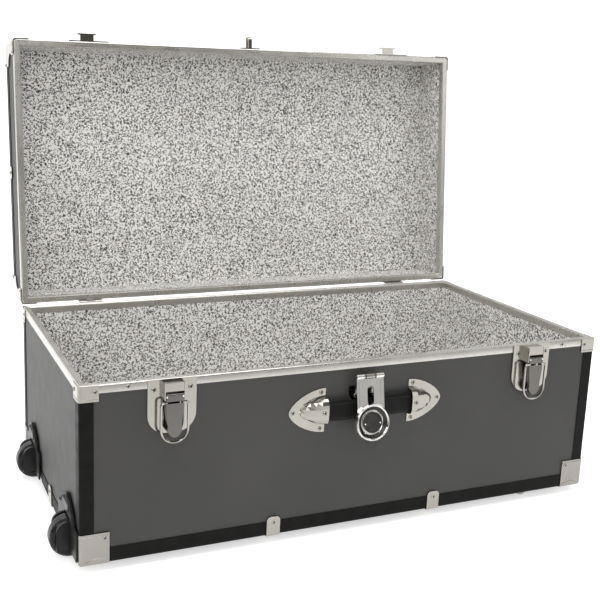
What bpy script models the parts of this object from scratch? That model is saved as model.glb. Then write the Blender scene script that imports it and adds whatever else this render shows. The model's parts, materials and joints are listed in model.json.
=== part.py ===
"""Wheeled footlocker with its lid open: boards, metal trim, latches, hasp lock, handles, hinges and wheels.

Frame: origin at the centre of the bottom board's underside, +X to the right, +Y to the back, +Z up.
The lid is modelled closed and turned open about its hinge axis. Units are metres.
"""

import math

import bmesh
import bpy
from mathutils import Matrix, Vector

# ---------------------------------------------------------------- driving dimensions
WIDTH = 0.760            # outside of the boards, left to right
DEPTH = 0.398            # outside of the boards, front to back
BASE_HEIGHT = 0.229      # underside to the top of the base rim
LID_HEIGHT = 0.081       # lid rim edge to the top of the lid
LID_GAP = 0.001          # between the two rims when closed
LID_OPEN = 95.5          # degrees from closed to the open rest pose
BOARD = 0.008            # wall boards
FLOOR_BOARD = 0.0045     # bottom and top boards
LINING = 0.0008          # paper lining
GAP = 0.0003             # between touching pieces
EDGE_RADIUS = 0.002      # rounding of the boards' outer edges

SHEET_IN = GAP           # binding and rim sheet, measured out from the boards
SHEET_OUT = 0.0010
CAP_IN = 0.0013          # corner caps lie over the binding
CAP_OUT = 0.0021
PLATE_BACK = 0.0013      # back of the fittings' plates
PLATE_FRONT = 0.0025

RIM_HEIGHT = 0.0105
RIM_TOP_SHEET = 0.0008
BINDING_SIDE = 0.017     # width of the binding on the walls' upright edges
BINDING_FLAT = 0.019     # width of the binding along the floor and lid edges
CAP_SIZE = 0.038         # bottom corner caps
BRACKET_SIZE = 0.025     # rim corner brackets
BRACKET_HEIGHT = 0.0203
LID_CORNER_TAB = 0.024   # lid corner piece, along the rim

HINGE_X = 0.275
HINGE_BEHIND = 0.004     # hinge axis behind the back boards
HINGE_BELOW = 0.001      # hinge axis below the rim's top
HINGE_WIDTH = 0.037
HINGE_LEAF = 0.034
KNUCKLE_RADIUS = 0.0026
HINGE_PIN_RADIUS = 0.0013
HINGE_BORE_RADIUS = 0.0017

WHEEL_RADIUS = 0.027
WHEEL_WIDTH = 0.022
WHEEL_PLACES = (("front", -0.142), ("back", 0.112))
HOUSING_REACH = 0.056      # clear of the housing's ears
WHEEL_Z = 0.015          # axle above the underside
WHEEL_X = -0.381
AXLE_RADIUS = 0.003
WELL_CLEARANCE = 0.0025

GLIDE_X = 0.287
GLIDE_Y = 0.180
GLIDE_RADIUS = 0.009

LATCH_X = 0.267
LATCH_HALF_WIDTH = 0.031
LATCH_BOTTOM = 0.160
LEVER_PIVOT_OUT = 0.0105
LEVER_PIVOT_Z = 0.2100
LEVER_HALF_WIDTH = 0.0112
LEVER_FRONT = 0.0150
LEVER_WALL = 0.0012
BAIL_PIVOT_OUT = 0.0135
BAIL_PIVOT_Z = 0.2025
BAIL_RADIUS = 0.0172     # half the bail's width, at the wire's centre
BAIL_WIRE = 0.0016       # wire radius
BAIL_LENGTH = 0.0512     # pivot to the end of the loop, at the wire's centre
CATCH_TONGUE_Z = 0.2458
CATCH_REACH = 0.0150

HASP_PIN_OUT = 0.0125
HASP_PIN_Z = 0.2100
HASP_TILT = 10.0         # degrees that the hanging hasp leans out over the strap
HASP_HALF_WIDTH = 0.020
HASP_THICKNESS = 0.0016
LOCK_DROP = 0.061        # hasp pin to the lock's centre
LOCK_RADIUS = 0.0245
SLOT_NEAR = 0.0132       # staple slot, from the hasp pin
SLOT_FAR = 0.0382
SLOT_HALF_WIDTH = 0.0048
STAPLE_LOW = 0.2320
STAPLE_HIGH = 0.2450
STAPLE_HALF_WIDTH = 0.003
STAPLE_REACH = 0.0215

HANDLE_X = 0.0045        # centre of the front strap
HANDLE_Z = 0.1655
HANDLE_HALF_GAP = 0.0625 # strap centre to the open edge of each end cap
CAP_LENGTH = 0.052
CAP_HALF_HEIGHT = 0.030
CAP_POINT = 1.6          # below 2, the cap's outline is more pointed than an ellipse
END_HANDLE_Z = 0.1300
POCKET_LENGTH = 0.0385
POCKET_HALF_HEIGHT = 0.0178
POCKET_REACH = 0.0145
POCKET_WALL = 0.0012
STEP_WIDTH = 0.0034      # raised step round the pocket
STEP_REACH = 0.0027
STRAP_HALF_HEIGHT = 0.0135
STRAP_THICKNESS = 0.0045
STRAP_STANDOFF = 0.0055  # wall to the strap at its ends
STRAP_BOW = 0.0025       # extra standoff in the middle

ARC_STEPS = 8
ROUND_STEPS = 32

BOARD_TOP = BASE_HEIGHT - RIM_TOP_SHEET - GAP
LID_LOW = BASE_HEIGHT + LID_GAP
LID_TOP = LID_LOW + LID_HEIGHT
LID_BOARD_LOW = LID_LOW + RIM_TOP_SHEET + GAP
HALF_W = WIDTH / 2
HALF_D = DEPTH / 2


# ---------------------------------------------------------------- scene, materials, helpers
def clear_scene():
    for obj in list(bpy.data.objects):
        bpy.data.objects.remove(obj, do_unlink=True)


def make_collection(name):
    collection = bpy.data.collections.new(name)
    bpy.context.scene.collection.children.link(collection)
    return collection


def make_material(name, color, roughness, metallic):
    material = bpy.data.materials.new(name)
    material.use_nodes = True
    shader = material.node_tree.nodes["Principled BSDF"]
    shader.inputs["Base Color"].default_value = (*color, 1.0)
    shader.inputs["Roughness"].default_value = roughness
    shader.inputs["Metallic"].default_value = metallic
    return material


clear_scene()
PARTS = make_collection("footlocker")
CUTTERS = make_collection("cutters")
GREY_BOARD = make_material("grey_board", (0.085, 0.083, 0.080), 0.45, 0.0)
NICKEL = make_material("nickel", (0.72, 0.70, 0.66), 0.22, 1.0)
BLACK_BINDING = make_material("black_binding", (0.015, 0.014, 0.013), 0.5, 0.0)
LINING_PAPER = make_material("lining_paper", (0.62, 0.60, 0.57), 0.8, 0.0)
BLACK_PLASTIC = make_material("black_plastic", (0.012, 0.012, 0.012), 0.35, 0.0)
WHEEL_RUBBER = make_material("wheel_rubber", (0.014, 0.014, 0.014), 0.45, 0.0)
STRAP_VINYL = make_material("strap_vinyl", (0.018, 0.017, 0.016), 0.5, 0.0)


def add_object(name, mesh, material, parent=None):
    """Material None makes a cutter, which stays out of the model."""
    obj = bpy.data.objects.new(name, mesh)
    if material is None:
        CUTTERS.objects.link(obj)
        obj.hide_render = True
        obj.display_type = "WIRE"
    else:
        PARTS.objects.link(obj)
        mesh.materials.clear()
        mesh.materials.append(material)
    obj.parent = parent
    return obj


def add_empty(name, location, rotation=(0, 0, 0), parent=None):
    empty = bpy.data.objects.new(name, None)
    PARTS.objects.link(empty)
    empty.empty_display_size = 0.02
    empty.location = location
    empty.rotation_euler = [math.radians(a) for a in rotation]
    empty.parent = parent
    return empty


def mesh_from(bm, name):
    bmesh.ops.recalc_face_normals(bm, faces=bm.faces[:])
    mesh = bpy.data.meshes.new(name)
    bm.to_mesh(mesh)
    bm.free()
    return mesh


def shade_round(obj, angle=40):
    obj.data.shade_smooth()
    obj.data.set_sharp_from_angle(angle=math.radians(angle))


def box(name, low, high, material=None, parent=None, radius=0.0, keep_flat=()):
    """A box between two corners. keep_flat names the ends, such as "z_high", whose own edges stay sharp."""
    low = Vector(low)
    high = Vector(high)
    size = high - low
    bm = bmesh.new()
    bmesh.ops.create_cube(bm, size=1.0)
    bmesh.ops.scale(bm, vec=size, verts=bm.verts)
    if radius:
        ends = {"z_low": -size.z / 2, "z_high": size.z / 2}
        flat = [ends[k] for k in keep_flat]
        edges = [e for e in bm.edges if not any(all(abs(v.co.z - z) < 1e-6 for v in e.verts) for z in flat)]
        bmesh.ops.bevel(bm, geom=edges, offset=radius, segments=3, profile=0.5, affect="EDGES")
    obj = add_object(name, mesh_from(bm, name), material, parent)
    obj.location = (low + high) / 2
    return obj


AXIS_TURNS = {
    "x": Matrix.Rotation(math.pi / 2, 4, "Y"),
    "y": Matrix.Rotation(-math.pi / 2, 4, "X"),
    "z": Matrix.Identity(4),
}


def cylinder(name, axis, centre, radius, length, material=None, parent=None, steps=24):
    bm = bmesh.new()
    bmesh.ops.create_cone(bm, cap_ends=True, segments=steps, radius1=radius, radius2=radius, depth=length)
    bmesh.ops.transform(bm, matrix=AXIS_TURNS[axis], verts=bm.verts)
    obj = add_object(name, mesh_from(bm, name), material, parent)
    obj.location = centre
    return obj


def arc(centre, radius, start, end, steps=ARC_STEPS):
    """Points of an arc in a plane, angles in degrees, with both ends."""
    points = []
    for i in range(steps + 1):
        a = math.radians(start + (end - start) * i / steps)
        points.append((centre[0] + radius * math.cos(a), centre[1] + radius * math.sin(a)))
    return points


def curve_to_mesh(curve_obj, name, material, parent, turn):
    """The curve's evaluated solid as a welded mesh; the curve is removed."""
    bpy.context.view_layer.update()
    graph = bpy.context.evaluated_depsgraph_get()
    mesh = bpy.data.meshes.new_from_object(curve_obj.evaluated_get(graph))
    bm = bmesh.new()
    bm.from_mesh(mesh)
    bmesh.ops.remove_doubles(bm, verts=bm.verts, dist=1e-6)
    bmesh.ops.transform(bm, matrix=turn, verts=bm.verts)
    bpy.data.objects.remove(curve_obj, do_unlink=True)
    return add_object(name, mesh_from(bm, name), material, parent)


# a plate's outline is drawn in its own two axes; its thickness runs along the third
PLATE_TURNS = {
    "xz": Matrix.Rotation(math.pi / 2, 4, "X"),
    "yz": Matrix(((0, 0, 1, 0), (1, 0, 0, 0), (0, 1, 0, 0), (0, 0, 0, 1))),
    "xy": Matrix.Identity(4),
}


def plate(name, plane, outlines, start, end, material=None, parent=None):
    """A flat piece: its outline, and any holes, in one plane, reaching from start to end across it."""
    curve = bpy.data.curves.new(name, "CURVE")
    curve.dimensions = "2D"
    curve.fill_mode = "BOTH"
    curve.extrude = abs(end - start) / 2
    for outline in outlines:
        spline = curve.splines.new("POLY")
        spline.points.add(len(outline) - 1)
        for point, (u, v) in zip(spline.points, outline):
            point.co = (u, v, 0, 1)
        spline.use_cyclic_u = True
    curve_obj = bpy.data.objects.new(name, curve)
    CUTTERS.objects.link(curve_obj)
    obj = curve_to_mesh(curve_obj, name, material, parent, PLATE_TURNS[plane])
    across = "xyz".index({"xz": "y", "yz": "x", "xy": "z"}[plane])
    obj.location[across] = (start + end) / 2
    return obj


def wire(name, points, radius, material, parent=None):
    curve = bpy.data.curves.new(name, "CURVE")
    curve.dimensions = "3D"
    curve.bevel_depth = radius
    curve.bevel_resolution = 2
    curve.use_fill_caps = True
    spline = curve.splines.new("POLY")
    spline.points.add(len(points) - 1)
    for point, co in zip(spline.points, points):
        point.co = (*co, 1)
    curve_obj = bpy.data.objects.new(name, curve)
    CUTTERS.objects.link(curve_obj)
    obj = curve_to_mesh(curve_obj, name, material, parent, Matrix.Identity(4))
    shade_round(obj)
    return obj


def turned(name, axis, centre, profile, closed, material, parent=None, steps=ROUND_STEPS):
    """A profile of (radius, height) turned about an axis through centre, run down its outer side."""
    mesh = bpy.data.meshes.new(name)
    verts = [(r, 0, h) for r, h in profile]
    edges = [(i, i + 1) for i in range(len(verts) - 1)]
    if closed:
        edges.append((len(verts) - 1, 0))
    mesh.from_pydata(verts, edges, [])
    obj = add_object(name, mesh, material, parent)
    obj.location = centre
    obj.rotation_euler = AXIS_TURNS[axis].to_euler()
    screw = obj.modifiers.new("turn", "SCREW")
    screw.axis = "Z"
    screw.steps = steps
    screw.render_steps = steps
    screw.use_merge_vertices = True
    screw.merge_threshold = 0.00001
    screw.use_smooth_shade = True
    return obj


def combine(obj, other, operation):
    modifier = obj.modifiers.new(operation.lower(), "BOOLEAN")
    modifier.operation = operation
    modifier.solver = "EXACT"
    modifier.object = other
    return obj


def cut(obj, *cutters):
    for cutter in cutters:
        combine(obj, cutter, "DIFFERENCE")
    return obj


def join(obj, *others):
    for other in others:
        combine(obj, other, "UNION")
    return obj


def trim(obj, keeper):
    return combine(obj, keeper, "INTERSECT")


def set_origin(obj, point):
    """Moves the object's origin to a joint axis and leaves its shape where it is."""
    shift = Vector(point) - obj.location
    obj.data.transform(Matrix.Translation(-shift))
    obj.location = point
    return obj


# ---------------------------------------------------------------- the case's layers
def base_solid(name, grow, high, material=None):
    """The base's outer form, grown by a distance, its top left flat."""
    low = (-HALF_W - grow, -HALF_D - grow, -grow)
    return box(name, low, (HALF_W + grow, HALF_D + grow, high), material, None, EDGE_RADIUS + grow, ("z_high",))


def lid_solid(name, grow, low, pivot, material=None):
    """The closed lid's outer form, grown by a distance, its lower edge left flat."""
    high = (HALF_W + grow, HALF_D + grow, LID_TOP + grow)
    return in_lid(box(name, (-HALF_W - grow, -HALF_D - grow, low), high, material, None,
                      EDGE_RADIUS + grow, ("z_low",)), pivot)


def in_lid(obj, pivot):
    """Places a piece, modelled where it stands on the closed lid, under the lid's pivot."""
    obj.location = obj.location - Vector(HINGE_AXIS)
    obj.parent = pivot
    return obj


HINGE_AXIS = (0.0, HALF_D + HINGE_BEHIND, BASE_HEIGHT - HINGE_BELOW)


def wheel_well_cutter(name, y, grow):
    """The space that a wheel well takes out of the boards and the lining."""
    half = WHEEL_WIDTH / 2 + WELL_CLEARANCE + 0.002 + grow
    right = WHEEL_X + WHEEL_RADIUS + WELL_CLEARANCE + 0.002 + grow
    top = WHEEL_Z + WHEEL_RADIUS + WELL_CLEARANCE + 0.002 + grow
    return box(name, (-0.45, y - half, -0.05), (right, y + half, top))


def make_base_boards():
    keeper = base_solid("base_form", 0.0, BASE_HEIGHT + 0.1)
    inner_y = HALF_D - BOARD
    inner_x = HALF_W - BOARD
    wells = [wheel_well_cutter(f"board_well_{side}", y, GAP) for side, y in WHEEL_PLACES]
    front = box("base_front_board", (-HALF_W, -HALF_D, 0), (HALF_W, -inner_y, BOARD_TOP), GREY_BOARD)
    back = box("base_back_board", (-HALF_W, inner_y, 0), (HALF_W, HALF_D, BOARD_TOP), GREY_BOARD)
    side_y = inner_y - GAP
    left = box("base_left_board", (-HALF_W, -side_y, 0), (-inner_x, side_y, BOARD_TOP), GREY_BOARD)
    right = box("base_right_board", (inner_x, -side_y, 0), (HALF_W, side_y, BOARD_TOP), GREY_BOARD)
    floor_x = inner_x - GAP
    bottom = box("base_bottom_board", (-floor_x, -side_y, 0), (floor_x, side_y, FLOOR_BOARD), GREY_BOARD)
    for board in (front, back, left, right):
        trim(board, keeper)
    cut(left, *wells)
    cut(bottom, *wells)


def make_base_lining():
    x = HALF_W - BOARD - GAP
    y = HALF_D - BOARD - GAP
    low = FLOOR_BOARD + GAP
    high = BASE_HEIGHT - RIM_HEIGHT - GAP
    lining = box("base_lining", (-x, -y, low), (x, y, high), LINING_PAPER)
    hollow = box("base_lining_inside", (-x + LINING, -y + LINING, low + LINING), (x - LINING, y - LINING, 1))
    cut(lining, hollow)
    cut(lining, *[wheel_well_cutter(f"lining_well_{side}", y, GAP) for side, y in WHEEL_PLACES])


def rim_ring(name, low, high, top_sheet_up, pivot):
    """The metal channel that caps the boards' edges, with its slot for the boards."""
    outer = HALF_W + SHEET_OUT, HALF_D + SHEET_OUT
    inner = HALF_W - BOARD - GAP - LINING, HALF_D - BOARD - GAP - LINING
    ring = box(name, (-outer[0], -outer[1], low), (outer[0], outer[1], high), NICKEL, None,
               EDGE_RADIUS + SHEET_OUT, ("z_low", "z_high"))
    hole = box(f"{name}_hole", (-inner[0], -inner[1], low - 1), (inner[0], inner[1], high + 1))
    slot_low = low - 0.01 if top_sheet_up else low + RIM_TOP_SHEET
    slot_high = high - RIM_TOP_SHEET if top_sheet_up else high + 0.01
    slot = box(f"{name}_slot", (-HALF_W - SHEET_IN, -HALF_D - SHEET_IN, slot_low),
               (HALF_W + SHEET_IN, HALF_D + SHEET_IN, slot_high), None, None, EDGE_RADIUS + SHEET_IN,
               ("z_low", "z_high"))
    core_x = HALF_W - BOARD - GAP
    core_y = HALF_D - BOARD - GAP
    core = box(f"{name}_core", (-core_x, -core_y, low - 2), (core_x, core_y, high + 2))
    cut(slot, core)
    pieces = [ring, hole, slot, core]
    cut(ring, hole, slot)
    if pivot:
        for piece in pieces:
            in_lid(piece, pivot)
    return ring


def binding_windows(prefix, low, high, band_low, band_high, pivot):
    """Boxes that open the binding skin on the walls and on its flat side."""
    wall_x = HALF_W - BINDING_SIDE
    wall_y = HALF_D - BINDING_SIDE
    flat_x = HALF_W - BINDING_FLAT
    flat_y = HALF_D - BINDING_FLAT
    windows = [
        box(f"{prefix}_window_front", (-wall_x, -1, band_low), (wall_x, 1, band_high)),
        box(f"{prefix}_window_side", (-1, -wall_y, band_low), (1, wall_y, band_high)),
        box(f"{prefix}_window_flat", (-flat_x, -flat_y, low), (flat_x, flat_y, high)),
    ]
    if pivot:
        windows = [in_lid(w, pivot) for w in windows]
    return windows


def make_base_binding():
    top = BASE_HEIGHT - RIM_HEIGHT - GAP
    windows = binding_windows("base", -1, 1, BINDING_FLAT, 1, None)
    inner = base_solid("base_binding_inside", SHEET_IN, 1.0)
    front_y, back_y = (y for _, y in WHEEL_PLACES)
    end_zone = box("binding_left_end_zone", (-1, front_y - HOUSING_REACH, -1),
                   (-HALF_W + 0.05, back_y + HOUSING_REACH, 0.05))
    main = base_solid("base_edge_binding", SHEET_OUT, top, BLACK_BINDING)
    cut(main, inner, *windows, end_zone)
    zone = box("binding_left_keep", (-1, front_y + HOUSING_REACH, -1),
               (-HALF_W + BINDING_FLAT + 0.001, back_y - HOUSING_REACH, 0.1))
    strip = base_solid("base_left_end_binding", SHEET_OUT, top, BLACK_BINDING)
    cut(strip, inner, *windows)
    trim(strip, zone)


def corner_name(sx, sy):
    return ("front" if sy < 0 else "back") + "_" + ("left" if sx < 0 else "right")


def corner_zone(name, sx, sy, reach, low, high):
    """A box that holds one upright corner of the case."""
    near_x = sx * (HALF_W + CAP_OUT - reach)
    near_y = sy * (HALF_D + CAP_OUT - reach)
    far_x = sx * (HALF_W + 0.02)
    far_y = sy * (HALF_D + 0.02)
    low_corner = (min(near_x, far_x), min(near_y, far_y), low)
    return box(name, low_corner, (max(near_x, far_x), max(near_y, far_y), high))


CORNERS = [(-1, -1), (1, -1), (-1, 1), (1, 1)]


def make_base_corners():
    inner = base_solid("base_cap_inside", CAP_IN, 1.0)
    for sx, sy in CORNERS:
        place = corner_name(sx, sy)
        cap = base_solid(f"base_corner_cap_{place}", CAP_OUT, 0.1, NICKEL)
        cut(cap, inner)
        trim(cap, corner_zone(f"cap_zone_{place}", sx, sy, CAP_SIZE, -1, CAP_SIZE + 0.002))
        bracket = base_solid(f"base_rim_bracket_{place}", CAP_OUT, BASE_HEIGHT - GAP, NICKEL)
        cut(bracket, inner)
        low = BASE_HEIGHT - BRACKET_HEIGHT
        trim(bracket, corner_zone(f"bracket_zone_{place}", sx, sy, BRACKET_SIZE, low, 1))


# ---------------------------------------------------------------- lid
def make_lid_boards(pivot):
    keeper = lid_solid("lid_form", 0.0, LID_LOW - 0.1, pivot)
    inner_y = HALF_D - BOARD
    inner_x = HALF_W - BOARD
    side_y = inner_y - GAP
    low = LID_BOARD_LOW
    walls = {
        "lid_front_board": ((-HALF_W, -HALF_D, low), (HALF_W, -inner_y, LID_TOP)),
        "lid_back_board": ((-HALF_W, inner_y, low), (HALF_W, HALF_D, LID_TOP)),
        "lid_left_board": ((-HALF_W, -side_y, low), (-inner_x, side_y, LID_TOP)),
        "lid_right_board": ((inner_x, -side_y, low), (HALF_W, side_y, LID_TOP)),
    }
    for name, (corner_low, corner_high) in walls.items():
        trim(in_lid(box(name, corner_low, corner_high, GREY_BOARD), pivot), keeper)
    top_x = inner_x - GAP
    top_low = (-top_x, -side_y, LID_TOP - FLOOR_BOARD)
    in_lid(box("lid_top_board", top_low, (top_x, side_y, LID_TOP), GREY_BOARD), pivot)


def make_lid_lining(pivot):
    x = HALF_W - BOARD - GAP
    y = HALF_D - BOARD - GAP
    low = LID_LOW + RIM_HEIGHT + GAP
    high = LID_TOP - FLOOR_BOARD - GAP
    lining = in_lid(box("lid_lining", (-x, -y, low), (x, y, high), LINING_PAPER), pivot)
    inside = box("lid_lining_inside", (-x + LINING, -y + LINING, 0), (x - LINING, y - LINING, high - LINING))
    cut(lining, in_lid(inside, pivot))


def make_lid_binding(pivot):
    low = LID_LOW + RIM_HEIGHT + GAP
    skin = lid_solid("lid_edge_binding", SHEET_OUT, low, pivot, BLACK_BINDING)
    inner = lid_solid("lid_binding_inside", SHEET_IN, -1.0, pivot)
    windows = binding_windows("lid", 0, 1, 0, LID_TOP - BINDING_FLAT, pivot)
    cut(skin, inner, *windows)


def make_lid_corners(pivot):
    inner = lid_solid("lid_cap_inside", CAP_IN, -1.0, pivot)
    low = LID_LOW + GAP
    tab_top = LID_LOW + 0.0125
    notch_radius = 0.020
    for sx, sy in CORNERS:
        place = corner_name(sx, sy)
        piece = lid_solid(f"lid_corner_{place}", CAP_OUT, low, pivot, NICKEL)
        cut(piece, inner)
        trim(piece, in_lid(corner_zone(f"lid_zone_{place}", sx, sy, CAP_SIZE, -1, 1), pivot))
        x = sx * (HALF_W + CAP_OUT)
        y = sy * (HALF_D + CAP_OUT)
        centre_z = tab_top + notch_radius
        far = LID_CORNER_TAB + notch_radius - 0.004
        beyond = CAP_SIZE + 0.01
        wall = 0.005
        front_notch = cylinder(f"lid_front_notch_{place}", "y", (x - sx * far, y, centre_z),
                               notch_radius, 2 * wall)
        side_notch = cylinder(f"lid_side_notch_{place}", "x", (x, y - sy * far, centre_z),
                              notch_radius, 2 * wall)
        front_x = sorted((x - sx * LID_CORNER_TAB, x - sx * beyond))
        front_end = box(f"lid_front_end_{place}", (front_x[0], y - wall, -1), (front_x[1], y + wall, centre_z))
        side_y = sorted((y - sy * LID_CORNER_TAB, y - sy * beyond))
        side_end = box(f"lid_side_end_{place}", (x - wall, side_y[0], -1), (x + wall, side_y[1], centre_z))
        cut(piece, *[in_lid(c, pivot) for c in (front_notch, side_notch, front_end, side_end)])


# ---------------------------------------------------------------- hinges
def make_hinges(pivot):
    y_back = HALF_D + PLATE_BACK
    y_front = HALF_D + PLATE_FRONT
    axis_y, axis_z = HINGE_AXIS[1], HINGE_AXIS[2]
    half = HINGE_WIDTH / 2
    third = HINGE_WIDTH / 6
    for sx, side in ((-1, "left"), (1, "right")):
        x = sx * HINGE_X
        base_leaf = box(f"hinge_base_leaf_{side}", (x - half, y_back, axis_z - HINGE_LEAF),
                        (x + half, y_front, axis_z), NICKEL)
        lid_leaf = box(f"hinge_lid_leaf_{side}", (x - half, y_back, axis_z),
                       (x + half, y_front, axis_z + HINGE_LEAF),
                       NICKEL)
        room = KNUCKLE_RADIUS + GAP
        notch = box(f"hinge_centre_room_{side}", (x - third - GAP, 0, axis_z - room),
                    (x + third + GAP, 1, axis_z + room))
        ends = [box(f"hinge_end_room_{side}_{i}", (low, 0, axis_z - room), (high, 1, axis_z + room))
                for i, (low, high) in enumerate(((x - half - 0.01, x - third), (x + third, x + half + 0.01)))]
        centre = cylinder(f"hinge_centre_knuckle_{side}", "x", (x, axis_y, axis_z), KNUCKLE_RADIUS, 2 * third - GAP)
        outer_length = half - third - GAP
        outer = [cylinder(f"hinge_outer_knuckle_{side}_{i}", "x",
                          (x + s * (third + GAP + outer_length / 2), axis_y, axis_z), KNUCKLE_RADIUS, outer_length)
                 for i, s in enumerate((-1, 1))]
        pin = cylinder(f"hinge_pin_{side}", "x", (x, axis_y, axis_z), HINGE_PIN_RADIUS, HINGE_WIDTH)
        bore = cylinder(f"hinge_bore_{side}", "x", (x, axis_y, axis_z), HINGE_BORE_RADIUS, HINGE_WIDTH)
        cut(base_leaf, notch)
        join(base_leaf, *outer, pin)
        cut(lid_leaf, *ends)
        join(lid_leaf, centre)
        cut(lid_leaf, bore)
        for piece in (lid_leaf, *ends, centre, bore):
            in_lid(piece, pivot)


# ---------------------------------------------------------------- wheels and glides
def housing_outline():
    """The wheel housing's face, seen from the left end: (y, z) about the wheel's middle."""
    waist = 0.036
    ear = 0.055
    ear_top = 0.043
    apex_radius = 0.010
    apex = 0.072
    right = [(ear, 0.004), (ear, ear_top - 0.006)] + arc((ear - 0.006, ear_top - 0.006), 0.006, 0, 90, 4)
    right += [(waist + 0.003, ear_top + 0.001), (waist, ear_top + 0.006)]
    right += [(waist - 0.004, 0.056), (waist - 0.014, 0.064)]
    crown = arc((0, apex - apex_radius), apex_radius, 50, 130, 6)
    left = [(-y, z) for y, z in reversed(right)]
    return right + crown + left


def make_wheels():
    plate_back = WHEEL_X - 0.0014
    plate_front = plate_back - 0.0024
    half = WHEEL_WIDTH / 2 + WELL_CLEARANCE
    cheek = half + 0.002
    reach = WHEEL_RADIUS + WELL_CLEARANCE
    well_right = WHEEL_X + reach + 0.002
    well_top = WHEEL_Z + reach + 0.002
    for side, y in WHEEL_PLACES:
        outline = [(y + u, z) for u, z in housing_outline()]
        housing = plate(f"wheel_housing_{side}", "yz", [outline], plate_front, plate_back, BLACK_PLASTIC)
        well = box(f"wheel_well_{side}", (plate_back - 0.001, y - cheek, 0.001), (well_right, y + cheek, well_top))
        hood_outline = [(plate_back, 0.002), (plate_back, 0.064), (plate_front - 0.002, 0.062)]
        hood_outline += arc((plate_front - 0.002, 0.026), 0.014, 75, 180, 8) + [(plate_front - 0.016, 0.002)]
        hood = plate(f"wheel_hood_{side}", "xz", [hood_outline], y - cheek - 0.002, y + cheek + 0.002)
        space = cylinder(f"wheel_space_{side}", "y", (WHEEL_X, y, WHEEL_Z), reach, 2 * half, steps=40)
        low = WHEEL_Z - 0.05
        way_left = box(f"wheel_way_left_{side}", (WHEEL_X - 0.05, y - half, low),
                       (WHEEL_X, y + half, WHEEL_Z + reach))
        way_down = box(f"wheel_way_down_{side}", (WHEEL_X - 0.05, y - half, low),
                       (WHEEL_X + reach, y + half, WHEEL_Z))
        hole = cylinder(f"axle_hole_{side}", "y", (WHEEL_X, y, WHEEL_Z), AXLE_RADIUS + GAP, 2 * cheek + 0.002)
        join(housing, well, hood)
        cut(housing, space, way_left, way_down, hole)
        cylinder(f"wheel_axle_{side}", "y", (WHEEL_X, y, WHEEL_Z), AXLE_RADIUS, 2 * cheek, NICKEL)
        w = WHEEL_WIDTH / 2
        r = WHEEL_RADIUS
        bore = AXLE_RADIUS + GAP
        shoulder = 0.006
        tread = arc((r - shoulder, w - shoulder), shoulder, 90, 0, 5)
        tread += arc((r - shoulder, -w + shoulder), shoulder, 0, -90, 5)
        face = [(bore, w - 0.001), (0.008, w - 0.001), (0.0095, w - 0.003), (0.016, w - 0.003), (0.0175, w)]
        back_face = [(radius, -height) for radius, height in reversed(face)]
        profile = face + tread + back_face
        turned(f"wheel_{side}", "y", (WHEEL_X, y, WHEEL_Z), profile, True, WHEEL_RUBBER)


def make_glides():
    low = WHEEL_Z - WHEEL_RADIUS
    top = -SHEET_OUT - GAP
    height = top - low
    for sy, side in ((-1, "front"), (1, "back")):
        centre = (GLIDE_X, sy * GLIDE_Y, low)
        profile = [(0, height), (GLIDE_RADIUS, height), (GLIDE_RADIUS, height - 0.002)]
        profile += [(GLIDE_RADIUS - 0.0008, 0.0045), (GLIDE_RADIUS - 0.003, 0.0012), (0.0045, 0), (0, 0)]
        turned(f"floor_glide_{side}", "z", centre, profile, False, NICKEL)


# ---------------------------------------------------------------- latches
def latch_plate_outline():
    half = LATCH_HALF_WIDTH
    top = BASE_HEIGHT - GAP
    corner = 0.024
    bottom = arc((half - corner, LATCH_BOTTOM + corner), corner, 0, -90, 8)
    left = [(-x, z) for x, z in reversed(bottom)]
    return [(-half, top), (half, top)] + bottom + left


def lever_outline(inset):
    """The lever seen from the front: straight at the top, waisted, with a rounded tip."""
    w = LEVER_HALF_WIDTH - inset
    waist = 0.0084 - inset
    flare = 0.0093 - inset
    tip = 0.1575 + inset
    top = LEVER_PIVOT_Z + 0.0032
    right = [(w, top), (w, 0.196), (waist, 0.1725), (flare, 0.1670)]
    right += [(flare - 0.001, 0.1640 + inset / 2), (0.0045, 0.1590 + inset), (0, tip)]
    left = [(-x, z) for x, z in reversed(right[:-1])]
    return right + left


def bail_points(x):
    """The wire's centre line, from one end in the lever's side round the loop to the other."""
    inner = 0.0095
    bend = 0.004
    turn_z = BAIL_PIVOT_Z - bend
    loop_z = BAIL_PIVOT_Z - BAIL_LENGTH + BAIL_RADIUS
    right = [(inner, BAIL_PIVOT_Z)] + arc((BAIL_RADIUS - bend, turn_z), bend, 90, 0, 4)
    loop = arc((0, loop_z), BAIL_RADIUS, 0, -180, 16)
    left = [(-u, z) for u, z in reversed(right)]
    return [(x + u, -HALF_D - BAIL_PIVOT_OUT, z) for u, z in right + loop + left]


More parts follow.
